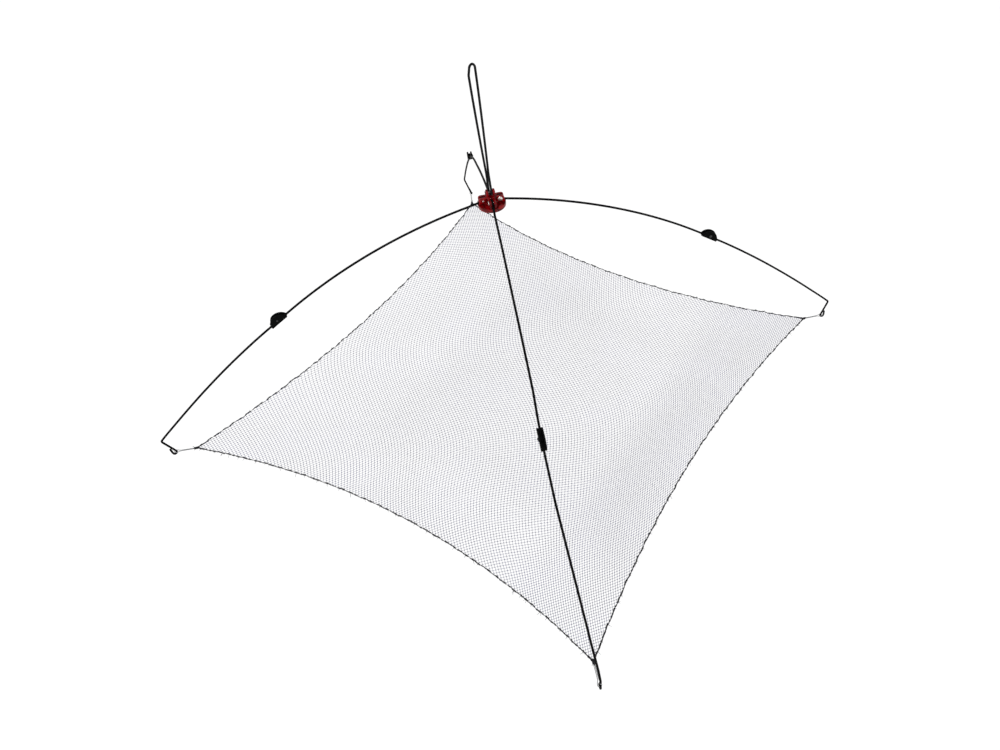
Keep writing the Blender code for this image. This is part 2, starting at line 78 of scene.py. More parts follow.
# Sizes that only the looks have: the coat on rods and loop, the fine roundings, and how the arms hang
COAT = 0.0002
BEND_R, TIP_EYE_R, TIP_EYE_L, TIP_CLOSE = 0.0060, 0.0038, 0.0125, radians(14)
UNDERSIDE = ((0.0020, 0.0007), (0.0175, 0.0007), (0.0184, 0.0004), (0.0190, 0.0))
INSIDE_RINGS = (0.0235, 0.0210, 0.0160, 0.0090, 0.0020)
BASE_EDGE, RIM_EDGE, RIM_ROOT, SINK, SECTOR_ROOT, INNER_ROUND = 0.0024, 0.0004, 0.0002, 0.0010, 0.0070, 0.0012
BOSS_EDGE, POST_EDGE, CHEEK_EDGE, EAR_EDGE = 0.0009, 0.0012, 0.0008, 0.0015
RIVET_TAIL_shares = ((0.35, 0.0), (0.72, 0.06), (0.90, 0.25), (1.0, 0.7))
HEAD_EDGE, HEAD_EDGE_H, HEAD_BRIM = 0.0003, 0.0002, 0.0005
CLIP_EDGE, CLIP_INSET, CLIP_HEAD_share = 0.0010, 0.0004, 1.6
LOOP_SIDEWAYS, LOOP_SAG_H, BRAID_PITCH, BRAID_RELIEF = 0.0044, 0.020, 0.0075, 0.035
# How far each springy arm leans to the left of its way out as it hangs, at some runs from its hub pin
LEAN_RUNS = (0.0, 0.03, 0.20, 0.36, 0.402, 0.455, 0.52, 0.60, 0.70, 0.735)
LEANS = (
    (0.0, -0.0015, -0.0052, -0.0080, -0.0105, -0.0120, -0.0118, -0.0080, -0.0025, 0.0),
    (0.0, -0.0005, -0.0015, -0.0026, -0.0030, -0.0034, -0.0044, -0.0044, -0.0020, 0.0),
    (0.0, 0.0005, 0.0025, 0.0010, 0.0, 0.0, 0.0010, 0.0025, 0.0058, 0.0072),
    (0.0, 0.0020, 0.0044, 0.0072, 0.0078, 0.0080, 0.0070, 0.0050, 0.0020, 0.0),
)
# Each leg, bent by hand: its tilt, its length, and how far its end swings and its eye is twisted to the left
LEGS = (
    (radians(-111), 0.0400, 0.0, 0.0), (radians(-110), 0.0430, 0.0, radians(-10)),
    (radians(-104), 0.0410, -0.0120, 0.0), (radians(-115.5), 0.0405, 0.0, radians(42)),
)


UP = np.array((0.0, 0.0, 1.0))
STAND = Matrix.Rotation(pi / 2, 4, "X")


def quarter_turn(k):
    return Matrix.Rotation(k * pi / 2, 4, "Z")


def direction(tilt):
    """The unit step (cos tilt, sin tilt) in an arm's plane."""
    return np.array((cos(tilt), sin(tilt)))


CLIP_DIR = direction(CLIP_TILT)
CLIP_ROD = np.array((0.4290, -0.1917))
CLIP_PIN = CLIP_ROD + EYE_R * np.array((-sin(CLIP_TILT), cos(CLIP_TILT)))
CLIP_STRAIGHT = CLIP_L / 2 + CLIP_SHIFT + ROD_R
BEND = np.array((0.7490, -0.4672))
HUB_TANGENT = EYE_R * np.array((sin(START_TILT), -cos(START_TILT)))
BASE_TOP = HUB_TANGENT[1] + (BASE_R - HINGE_RADIUS - HUB_TANGENT[0]) * tan(START_TILT)
BASE_TOP -= ROD_R / cos(START_TILT) + GAP
BASE_BOTTOM = BASE_TOP - BASE_T


# The camera


def shown(name, data):
    """An object for a mesh, lamp or camera, in the scene."""
    ob = bpy.data.objects.new(name, data)
    bpy.context.scene.collection.objects.link(ob)
    return ob


def make_camera():
    """The photograph's camera: focal length, picture centre, place and axes, from points matched in it."""
    focal, centre, width, height, sensor = 901.107, (628.32, 345.21), 1000, 750, 36.0
    data = bpy.data.cameras.new("camera")
    data.sensor_fit, data.sensor_width = "HORIZONTAL", sensor
    data.lens = sensor * focal / width
    data.shift_x, data.shift_y = (width / 2 - centre[0]) / width, (centre[1] - height / 2) / width
    data.clip_start, data.clip_end = 0.02, 150
    ob = shown("camera", data)
    axes = Matrix(((0.2697, -0.6808, 0.6810), (0.9628, 0.2031, -0.1782), (-0.0170, 0.7038, 0.7102)))
    ob.rotation_mode = "QUATERNION"
    ob.rotation_quaternion = axes.to_quaternion()
    ob.location = (1.4274, -0.1109, 0.7421)
    bpy.context.scene.camera = ob


make_camera()


# Paths and surfaces


def joined(*parts):
    """Arrays end to end."""
    return np.concatenate(parts)


def columns(*numbers):
    """Numbers or arrays of them side by side, stretched to the same shape."""
    return np.stack(np.broadcast_arrays(*numbers), -1)


def unit(v):
    """Vectors over their own lengths."""
    return v / np.maximum(np.linalg.norm(v, axis=-1, keepdims=True), 1e-12)


def spun(a, n, b):
    """Directions cos a n + sin a b, for every angle a."""
    return np.cos(a)[..., None] * n + np.sin(a)[..., None] * b


def turn(points, k):
    """Points turned about +Z by k quarter turns: (x, y) goes to (x cos - y sin, x sin + y cos)."""
    c, s = (1, 0, -1, 0)[k % 4], (0, 1, 0, -1)[k % 4]
    x, y, z = np.moveaxis(np.asarray(points, float), -1, 0)
    return columns(c * x - s * y, s * x + c * y, z)


def in_world(plane, k, side=0.0):
    """Arm-plane points (run, height) of arm k in the world, side metres to the left of the way out."""
    plane = np.asarray(plane, float)
    return turn(columns(HINGE_RADIUS + plane[..., 0], side, HUB_Z + plane[..., 1]), k)


def leaning(run, k):
    """How far arm k leans sideways at a run, on straight lines between the numbers above."""
    return np.interp(run, LEAN_RUNS, LEANS[k])


def astray(plane, k):
    """How far arm k's wire is off its plane: its lean, and below the bend the leg's growing swing."""
    _, leg_long, swing, _ = LEGS[k]
    return leaning(plane[..., 0], k) + swing * np.clip((BEND[1] - plane[..., 1]) / leg_long, 0, 1.3)


def placed(points, place):
    """Points moved by a 4 x 4 matrix: rotation times point, plus shift."""
    m = np.array(place)
    return points @ m[:3, :3].T + m[:3, 3]


def arc(centre, radius, start, sweep, steps):
    """Points centre + radius (cos a, sin a), with a from start to start + sweep."""
    a = start + sweep * np.linspace(0, 1, steps + 1)
    return columns(centre[0] + radius * np.cos(a), centre[1] + radius * np.sin(a))


def bowed(a, tilt_a, b, tilt_b, steps):
    """A cubic Bezier curve from a to b whose handles are a third of the chord long, at the given tilts."""
    t = np.linspace(0, 1, steps + 1)[:, None]
    reach = np.linalg.norm(b - a) / 3
    p, q = a + reach * direction(tilt_a), b - reach * direction(tilt_b)
    return (1 - t) ** 3 * a + 3 * (1 - t) ** 2 * t * p + 3 * (1 - t) * t**2 * q + t**3 * b


def run_of(path):
    """The distance along a path to each point: the running sum of its steps."""
    return joined((0.0,), np.cumsum(np.linalg.norm(np.diff(path, axis=0), axis=1)))


def even(path, step):
    """A path's points again, evenly about step apart, by straight-line interpolation."""
    run = run_of(path)
    at = np.linspace(0, run[-1], max(2, int(round(run[-1] / step)) + 1))
    return columns(*(np.interp(at, run, v) for v in path.T))


def through(route, steps):
    """A Catmull-Rom curve through the route's points, steps per stretch."""
    p = joined(2 * route[:1] - route[1:2], route, 2 * route[-1:] - route[-2:-1])
    a, b, c, d = (q[:, None] for q in (p[:-3], p[1:-2], p[2:-1], p[3:]))
    t = np.linspace(0, 1, steps, endpoint=False)[None, :, None]
    mid = b + 0.5 * t * ((c - a) + t * ((2 * a - 5 * b + 4 * c - d) + t * (3 * b - a - 3 * c + d)))
    return joined(mid.reshape(-1, p.shape[1]), route[-1:])


def ringed_faces(rings, sides):
    """Quads (j, i) (j, i+1) (j+1, i+1) (j+1, i) between closed rings, and a fan to each of two poles."""
    j, i = np.arange(rings - 1)[:, None] * sides, np.arange(sides)
    right, first_pole, end = (i + 1) % sides, rings * sides, (rings - 1) * sides
    quads = columns(j + i, j + right, j + sides + right, j + sides + i).reshape(-1, 4)
    low = columns(first_pole, right, i)
    return quads, low, columns(first_pole + 1, end + i, end + right)


class Shape:
    """Corners and faces gathered for one piece.

    Each corner also keeps its place if its cord were pulled straight along z, for finishes to follow.
    """

    def __init__(self):
        self.corners, self.straight, self.faces, self.count = [], [], [], 0

    def add(self, corners, *faces, straight=None):
        corners = np.asarray(corners, float).reshape(-1, 3)
        self.corners.append(corners)
        self.straight.append(corners if straight is None else np.asarray(straight, float).reshape(-1, 3))
        self.faces += [np.asarray(f) + self.count for f in faces]
        self.count += len(corners)

    def cords(self, points, which, up, radius, sides, relief=None):
        """Tubes along several paths at once: points with the same number in which are one path.

        A corner is point + r (cos a n + sin a b), with t the step from the point before to the one after,
        n the part of up across t, b = t x n and a rising by a full turn over the sides. A pole closes
        each end. relief(a, run) multiplies the radius.
        """
        points, which = np.asarray(points, float), np.asarray(which)
        same = which[1:] == which[:-1]
        gap = np.linalg.norm(np.diff(points, axis=0), axis=1) * same
        run = joined((0.0,), np.cumsum(gap))
        first = joined((True,), ~same)
        last = joined(~same, (True,))
        before, after = np.arange(len(points)) - ~first, np.arange(len(points)) + ~last
        run = run - np.maximum.accumulate(np.where(first, run, 0.0))
        t = unit(points[after] - points[before])
        up = np.broadcast_to(up, t.shape)
        n = unit(up - (up * t).sum(-1, keepdims=True) * t)
        b = np.cross(t, n)
        a = 2 * pi * np.arange(sides) / sides
        r = np.broadcast_to(radius, len(points))[:, None] * np.ones(sides)
        if relief is not None:
            r = r * relief(a[None], run[:, None])
        rings = points[:, None] + r[..., None] * spun(a, n[:, None], b[:, None])
        laid = columns(r * np.cos(a), r * np.sin(a), run[:, None])
        q = np.flatnonzero(same)[:, None] * sides
        i = np.arange(sides)[None]
        j = (i + 1) % sides
        quads = columns(q + i, q + j, q + sides + j, q + sides + i).reshape(-1, 4)
        total = len(points) * sides
        starts, ends = np.flatnonzero(first), np.flatnonzero(last)
        poles = joined(points[starts] - 0.3 * r[starts, :1] * t[starts],
                       points[ends] + 0.3 * r[ends, :1] * t[ends])
        pole = total + np.arange(len(starts))[:, None]
        lows, highs = starts[:, None] * sides, ends[:, None] * sides
        low = columns(pole, lows + j, lows + i).reshape(-1, 3)
        high = columns(pole + len(starts), highs + i, highs + j).reshape(-1, 3)
        still = columns(0.0, 0.0, joined(run[starts], run[ends]))
        self.add(joined(rings.reshape(-1, 3), poles), quads, low, high,
                 straight=joined(laid.reshape(-1, 3), still))

    def tube(self, path, up, radius, sides, relief=None, ends=0.7):
        """One tube with rounded ends: rings of radius r cos u go out by ends r sin u, u up to 70 degrees."""
        path = np.asarray(path, float)
        r = np.broadcast_to(radius, len(path)).astype(float)
        u = np.radians((25, 48, 70))
        t0, t1 = unit(path[0] - path[1]), unit(path[-1] - path[-2])
        low = path[0] + (ends * r[0] * np.sin(u))[::-1, None] * t0
        high = path[-1] + (ends * r[-1] * np.sin(u))[:, None] * t1
        points = joined(low, path, high)
        radii = joined((r[0] * np.cos(u))[::-1], r, r[-1] * np.cos(u))
        self.cords(points, np.zeros(len(points), int), up, radii, sides, relief)

    def turned(self, profile, sides, place, dip=None):
        """A profile of (radius, height) turned about z: corner = (r cos a, r sin a, z), with two poles.

        dip(x, y), times a point's third profile number, lowers it.
        """
        profile = np.asarray(profile, float)
        a = 2 * pi * np.arange(sides) / sides
        x, y = profile[:, :1] * np.cos(a), profile[:, :1] * np.sin(a)
        z = profile[:, 1:2]
        if dip is not None:
            z = z - profile[:, 2:3] * dip(x, y)
        poles = ((0, 0, profile[0, 1]), (0, 0, profile[-1, 1]))
        corners = joined(columns(x, y, z).reshape(-1, 3), poles)
        self.add(placed(corners, place), *ringed_faces(len(profile), sides), straight=corners)

    def slab(self, outline, low, high, edge, place, steps=4):
        """An outline in local x and y, anticlockwise, as a slab from low to high with rounded edges.

        Ring by ring the outline is drawn in by edge (1 - cos u) while it rises by edge sin u.
        """
        outline = np.asarray(outline, float)
        step = unit(np.roll(outline, -1, 0) - outline)
        out = columns(step[:, 1], -step[:, 0])
        both = out + np.roll(out, 1, 0)
        both = both / np.maximum(0.35, (both * np.roll(out, 1, 0)).sum(-1, keepdims=True))
        u = np.linspace(0, pi / 2, steps + 1)
        inset = joined(edge * (1 - np.cos(u))[::-1], edge * (1 - np.cos(u)))
        level = joined(low + edge - edge * np.sin(u)[::-1], high - edge + edge * np.sin(u))
        x, y = np.moveaxis(outline - inset[:, None, None] * both, -1, 0)
        rings, middle = columns(x, y, level[:, None]), outline.mean(0)
        corners = joined(rings.reshape(-1, 3), ((*middle, low), (*middle, high)))
        self.add(placed(corners, place), *ringed_faces(len(inset), len(outline)))

    def make(self, name, finish, node, slot, body=None, crease=None):
        """The piece: one mesh at the origin that stands for its CAD node. A tie has no body."""
        mesh = bpy.data.meshes.new(name)
        mesh.vertices.add(self.count)
        mesh.vertices.foreach_set("co", np.concatenate(self.corners).ravel())
        sizes = np.concatenate([np.full(len(f), f.shape[1]) for f in self.faces])
        mesh.loops.add(int(sizes.sum()))
        indices = np.concatenate([f.ravel() for f in self.faces])
        mesh.loops.foreach_set("vertex_index", indices.astype(np.int32))
        mesh.polygons.add(len(sizes))
        mesh.polygons.foreach_set("loop_start", (np.cumsum(sizes) - sizes).astype(np.int32))
        mesh.update(calc_edges=True)
        mesh.validate()
        mesh.polygons.foreach_set("use_smooth", np.ones(len(sizes), bool))
        laid = mesh.attributes.new("straight", "FLOAT_VECTOR", "POINT")
        laid.data.foreach_set("vector", np.concatenate(self.straight).ravel())
        if crease:
            mesh.set_sharp_from_angle(angle=radians(crease))
        mesh.materials.append(finish.material)
        ob = shown(name, mesh)
        if body:
            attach(ob, body)
        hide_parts(node)
        return ob


# Finishes


class Signal:
    """A number inside a finish; arithmetic on it adds Math nodes."""

    def __init__(self, finish, socket):
        self.finish, self.socket = finish, socket

    def math(self, operation, *terms):
        return self.finish.node("Math", {"operation": operation}, dict(enumerate(terms)))

    __add__ = __radd__ = lambda self, other: self.math("ADD", self, other)
    __sub__ = lambda self, other: self.math("SUBTRACT", self, other)
    __rsub__ = lambda self, other: self.math("SUBTRACT", other, self)
    __mul__ = __rmul__ = lambda self, other: self.math("MULTIPLY", self, other)
    __pow__ = lambda self, other: self.math("POWER", self, other)

    def wave(self):
        """Half the sine and a half."""
        return self.math("SINE", self) * 0.5 + 0.5

    def step(self, low, high):
        """0 below low and 1 above high, smooth between."""
        return self.finish.node("MapRange", {"interpolation_type": "SMOOTHSTEP"}, {0: self, 1: low, 2: high})


class Finish:
    """One material: its Principled shader, and the one method that adds any other node."""

    def __init__(self, name, **constant):
        self.material = bpy.data.materials.new(name)
        self.material.use_nodes = True
        self.tree = self.material.node_tree
        self.shader = self.tree.nodes["Principled BSDF"]
        for socket, value in constant.items():
            self.shader.inputs[socket.replace("_", " ")].default_value = value

    def node(self, kind, settings=None, sockets=None, out=0):
        """Adds a node of a kind: settings first, then values or links of its sockets. Gives one output."""
        made = self.tree.nodes.new("ShaderNode" + kind)
        for key, value in (settings or {}).items():
            setattr(made, key, value)
        for key, value in (sockets or {}).items():
            self.join(value, made.inputs[key])
        return Signal(self, made.outputs[out])

    def join(self, value, socket):
        if isinstance(value, Signal):
            self.tree.links.new(value.socket, socket)
        else:
            socket.default_value = value

    def set(self, **signals):
        for name, value in signals.items():
            self.join(value, self.shader.inputs[name.replace("_", " ")])

    def place(self):
        """The point on the piece, in metres."""
        return self.node("TexCoord", out=3)

    def laid(self):
        """The point as if its cord were pulled straight along z."""
        return self.node("Attribute", {"attribute_name": "straight"}, out=1)

    def noise(self, vector, scale, detail=2.0, rough=0.5, twist=0.0):
        """Noise at one scale, or at one for each way."""
        if isinstance(scale, tuple):
            vector, scale = self.node("VectorMath", {"operation": "MULTIPLY"}, {0: vector, 1: scale}), 1
        return self.node("TexNoise", None, {"Vector": vector, "Scale": scale, "Detail": detail,
                                            "Roughness": rough, "Distortion": twist})

    def mix(self, share, a, b):
        """Colour a towards colour b by a share."""
        a, b = (v if isinstance(v, Signal) else (*v, 1.0) for v in (a, b))
        return self.node("Mix", {"data_type": "RGBA"}, {0: share, 6: a, 7: b}, out=2)

    def bump(self, height, strength, distance):
        heights = {"Height": height, "Strength": strength, "Distance": distance}
        self.set(Normal=self.node("Bump", None, heights))

    def parts(self, vector):
        """The three numbers of a vector."""
        made = self.node("SeparateXYZ", None, {0: vector})
        return [Signal(self, s) for s in made.socket.node.outputs]

    def round_cord(self):
        """The point as laid straight, its angle round the cord and its place along it."""
        laid = self.laid()
        x, y, z = self.parts(laid)
        return laid, self.node("Math", {"operation": "ARCTAN2"}, {0: y, 1: x}), z


def red_plastic():
    """Glossy deep red moulding: slow swirls painted dark and bright red as patchy reflections, orange peel,
    dull rubbed patches, faint scratches.
    """
    f = Finish("hub_red", IOR=1.5, Coat_Roughness=0.05, Specular_IOR_Level=0.14)
    p = f.place()
    painted_reflection = f.noise(p, 60, 4, 0.6, 1.2)
    rub = f.noise(p, 240, 5, 0.65).step(0.52, 0.70)
    scratch = f.noise(p, (900, 60, 500), 2, 0.5).step(0.66, 0.74)
    # Dark red to bright red by the slow swirls: painted patchy reflections, not the moulding's own colour
    colour = f.mix(painted_reflection.step(0.38, 0.62), (0.050, 0.0002, 0.0007), (0.225, 0.0008, 0.0028))
    colour = f.mix(rub * 0.15, colour, (0.30, 0.02, 0.03))
    f.set(Base_Color=colour, Roughness=0.13 + 0.16 * rub + 0.12 * scratch, Coat_Weight=0.05 - 0.04 * rub)
    f.bump(f.noise(p, 700, 3, 0.5) * 0.7 - scratch * 0.5, 0.12, 0.0004)
    return f


def black_plastic():
    """Satin black moulding: fine spark grain, slightly paler worn patches."""
    f = Finish("clip_black", IOR=1.46, Specular_IOR_Level=0.025)
    p = f.place()
    wear = f.noise(p, 300, 5, 0.65).step(0.5, 0.75)
    flow = f.noise(p, 55, 3, 0.55, 0.8)
    colour = f.mix(flow, (0.0012, 0.0013, 0.0014), (0.0028, 0.003, 0.003))
    f.set(Base_Color=f.mix(wear * 0.6, colour, (0.012, 0.012, 0.0125)),
          Roughness=0.46 + 0.16 * wear + 0.06 * flow)
    f.bump(f.noise(p, 2600, 2, 0.6), 0.25, 0.0002)
    return f


def rod_coating():
    """Black-dipped spring wire: drawing lines along it, small chips to grey steel, paler rubbed bands."""
    f = Finish("rod_black", IOR=1.5, Specular_IOR_Level=0.05)
    laid = f.laid()
    lines = f.noise(laid, (1700, 1700, 14), 3, 0.6)
    bands = f.noise(laid, (60, 60, 22), 3, 0.6)
    chips = f.noise(laid, (520, 520, 190), 3, 0.55).step(0.70, 0.74)
    colour = f.mix(bands.step(0.35, 0.7), (0.0015, 0.0015, 0.0017), (0.0045, 0.0045, 0.005))
    colour = f.mix(lines.step(0.55, 0.8) * 0.5, colour, (0.012, 0.012, 0.013))
    f.set(Base_Color=f.mix(chips, colour, (0.20, 0.19, 0.18)), Metallic=chips * 0.85,
          Roughness=0.50 + 0.16 * bands + 0.12 * lines - 0.2 * chips)
    f.bump(lines * 0.6 - chips * 0.8, 0.2, 0.00012)
    return f


def rivet_steel(name, colour, dull, metal, rough):
    """Turned pin: rings about its axis, a brushed head and a dull film in patches."""
    f = Finish(name)
    laid = f.laid()
    film = f.noise(laid, 420, 4, 0.6).step(0.42, 0.70)
    x, y, _ = f.parts(laid)
    rings = f.noise(f.node("CombineXYZ", None, {0: (x * x + y * y) ** 0.5 * 5200}), 1, 2, 0.6)
    turned = f.mix(rings, colour, tuple(0.82 * c for c in colour))
    f.set(Base_Color=f.mix(film * 0.7, turned, dull), Metallic=metal,
          Roughness=rough + 0.18 * film + 0.08 * rings)
    f.bump(rings, 0.15, 0.0001)
    return f


def twine(name, dark, pale, ply, rough):
    """Twisted twine: plies winding round the cord as light and dark stripes, dusty flecks, slow fading."""
    f = Finish(name, IOR=1.45, Specular_IOR_Level=0.12)
    laid, angle, z = f.round_cord()
    stripe = (angle * 2.0 + z * (2 * pi / ply)).wave()
    fleck = f.noise(laid, (2400, 2400, 900), 2, 0.6)
    fade = f.noise(f.place(), 24, 3, 0.6)
    shade = (stripe ** 0.6) * 0.5 + fleck.step(0.3, 0.8) * 0.3 + fade * 0.2
    f.set(Base_Color=f.mix(shade, dark, pale), Roughness=rough + 0.1 * fleck)
    f.bump(stripe * 0.7 + fleck * 0.3, 0.5, 0.0003)
    return f


def braid(name, dark, pale, pitch):
    """Braided cord: two sets of strands that wind both ways, with fibres."""
    f = Finish(name, IOR=1.45, Specular_IOR_Level=0.12)
    laid, angle, z = f.round_cord()
    turn_z = z * (2 * pi / pitch)
    left, right = (angle * 4.0 + turn_z).wave(), (angle * 4.0 - turn_z).wave()
    ridge = left.math("MAXIMUM", left, right)
    fleck = f.noise(laid, (2600, 2600, 1500), 3, 0.65)
    fade = f.noise(f.place(), 30, 3, 0.6)
    f.set(Base_Color=f.mix(ridge * 0.45 + fleck.step(0.35, 0.8) * 0.4 + fade * 0.15, dark, pale),
          Roughness=0.62 + 0.2 * fleck)
    f.bump(ridge * 0.8 + fleck * 0.2, 0.7, 0.0004)
    return f


def net_twine():
    """Thin dark twine, faintly violet, finely twisted and flecked, paler where dry."""
    f = Finish("net_twine", IOR=1.45, Specular_IOR_Level=0.15)
    p = f.place()
    dry = f.noise(p, 9, 4, 0.6).step(0.35, 0.7)
    fleck = f.noise(p, 800, 2, 0.6)
    _, _, z = f.parts(f.laid())
    twist = (z * (2 * pi / 0.0021)).wave()
    shade = dry * 0.5 + fleck * 0.3 + twist * 0.2
    f.set(Base_Color=f.mix(shade, (0.026, 0.026, 0.075), (0.085, 0.085, 0.230)),
          Roughness=0.58 + 0.2 * fleck)
    f.bump(fleck, 0.3, 0.0001)
    return f


RED = red_plastic()
BLACK = black_plastic()
ROD = rod_coating()
# The bright rivets' steel is tinted pink, a painted reflection of the red hub around them
BRIGHT = rivet_steel("rivet_bright", (0.80, 0.74, 0.71), (0.44, 0.36, 0.33), 1.0, 0.18)
DULL = rivet_steel("rivet_dulled", (0.16, 0.13, 0.13), (0.07, 0.05, 0.05), 0.9, 0.42)
DARK_PIN = rivet_steel("rivet_blackened", (0.050, 0.050, 0.052), (0.030, 0.028, 0.026), 0.8, 0.34)
NET = net_twine()
ROPE = twine("edge_rope_cord", (0.004, 0.004, 0.005), (0.024, 0.024, 0.028), 0.012, 0.7)
LOOP = braid("loop_cord", (0.0015, 0.0015, 0.0017), (0.011, 0.011, 0.012), BRAID_PITCH)
PALE = twine("tie_cord", (0.05, 0.05, 0.055), (0.34, 0.34, 0.35), 0.006, 0.6)


# Cords first: the carrying loop


def loop_route():
    """The loop's centreline: from under the crown pin round it, up one strand, over the crown and back."""
    pin_z, split = HUB_Z + CROWN_PIN_H, radians(4)
    a = np.linspace(-pi / 2 + split, 0, 25)
    wrap = columns(LOOP_WRAP_R * np.cos(a), STRAND_Y * np.sin((a + pi / 2) / 2) / sin(pi / 4),
                   pin_z + LOOP_WRAP_R * np.sin(a))
    crown_z, merge_z = LOOP_R - LOOP_CROWN_R, HUB_Z + LOOP_MERGE
    t = np.linspace(0, 1, 41)[1:]
    join = columns(LOOP_WRAP_R * (0.5 + 0.5 * np.cos(pi * t)), STRAND_Y, pin_z + (merge_z - pin_z) * t)
    t = np.linspace(0, 1, 81)[1:]
    rise = columns(0.0, STRAND_Y + (LOOP_CROWN_R - STRAND_Y) * (1 - (1 - t) ** 1.5),
                   merge_z + (crown_z - merge_z) * t)
    top = arc((0, crown_z), LOOP_CROWN_R, 0, pi, 32)[1:-1]
    side = joined(wrap, join, rise)
    whole = joined(side, np.insert(top, 0, 0.0, axis=1), (side * (-1, -1, 1))[::-1])
    # The crown sags over towards its right-hand strand
    high = np.clip(1 + (whole[:, 2] - LOOP_R) / LOOP_SAG_H, 0, 1)
    whole[:, 1] += LOOP_SIDEWAYS * high * (1 - whole[:, 1] / LOOP_CROWN_R) / 2
    return whole


def make_loop():
    """A round braided cord: radius times 1 + a share of max(sin(4a + kz), sin(4a - kz))."""
    path, radius, k = even(loop_route(), 0.0006), LOOP_R + COAT, 2 * pi / BRAID_PITCH
    shape = Shape()

    def relief(a, z):
        return 1 + BRAID_RELIEF * np.maximum(np.sin(4 * a + k * z), np.sin(4 * a - k * z))

    shape.tube(path, (1.0, 0.0, 0.02), radius, 24, relief, ends=0.4)
    ob = shape.make("carry_loop_cord", LOOP, "carry_loop", "loop_cord", "root")


# Corner ties: a doubled cord from the knot through the rod's tip eye


def tie_route(k):
    """The tie's centreline as (run, height, sideways): two strands that part round the tip eye."""
    leg = direction(LEGS[k][0])
    out = np.array((-leg[1], leg[0]))
    eye = BEND + LEGS[k][1] * leg + TIP_EYE_R * out + (TIP_EYE_R - ROD_R) / 4 * leg
    knot = np.array((CORNER_RADIUS + KNOT_SHIFT + KNOT_L / 2 + GAP - HINGE_RADIUS, -NET_FALL))
    side, near, step = ROD_R + TIE_R + 2 * GAP, TIE_R + GAP, eye - knot
    long = np.linalg.norm(step)
    beside = knot + step * (long - TIP_EYE_R - ROD_R) / long
    low = knot - step * 0.004 / long
    half = [(*low, near * 0.7), (*knot, near), (*(knot + 0.5 * step), near),
            (*(knot + 0.72 * step), near + 0.2 * (side - near)), (*beside, side),
            (*(eye - 0.2 * TIP_EYE_R * out), side)]
    middle = (*(eye + 0.15 * ROD_R * out), 0.0)
    whole = through(np.array(half + [middle] + [(x, z, -s) for x, z, s in half[::-1]]), 30)
    along = ((whole[:, :2] - knot) @ step) / (step @ step)
    whole[:, 2] += astray(eye, k) * np.clip(along, 0, 1)
    return knot, eye, step, whole, along


def make_tie(arm, k):
    """The tie in two pieces that meet halfway."""
    knot, eye, step, whole, along = tie_route(k)
    world = in_world(whole[:, :2], k, whole[:, 2])
    start, middle, end = (in_world(p, k) for p in (knot, knot + 0.5 * step, eye))
    up = turn((0.0, 1.0, 0.0), k)
    across = np.cross(up, unit(end - start))
    bight = world[along >= 0.5]
    u = Shape()
    u.tube(even(bight, 0.0007), across, TIE_R, 10, ends=0.2)
    eye_side = u.make("tie_bight_" + arm, PALE, "corner_tie_" + arm, "pale_cord")
    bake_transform(eye_side)
    strands = Shape()
    first, last = np.flatnonzero(along >= 0.5)[[0, -1]]
    for part in (world[:first + 1], world[last:]):
        strands.tube(even(part, 0.0004), across, TIE_R, 10, ends=0.2)
    knot_side = strands.make("tie_strands_" + arm, PALE, "corner_tie_" + arm, "pale_cord")
    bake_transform(knot_side)


make_loop()
for name, k in ARMS:
    make_tie(name, k)


# Hub


def upright(z, out=0.0):
    """At a height above the hub pins, out along an arm."""
    return Matrix.Translation((out, 0, HUB_Z + z))


def slot_dip(x, y):
    """Full over each arm's slot, none beside it: 1 / (1 + (d / w)^14), d the distance from its middle."""
    d = np.minimum(np.abs(x), np.abs(y))
    return 1 / (1 + (d / (SLOT_W / 2 + GAP)) ** 14)


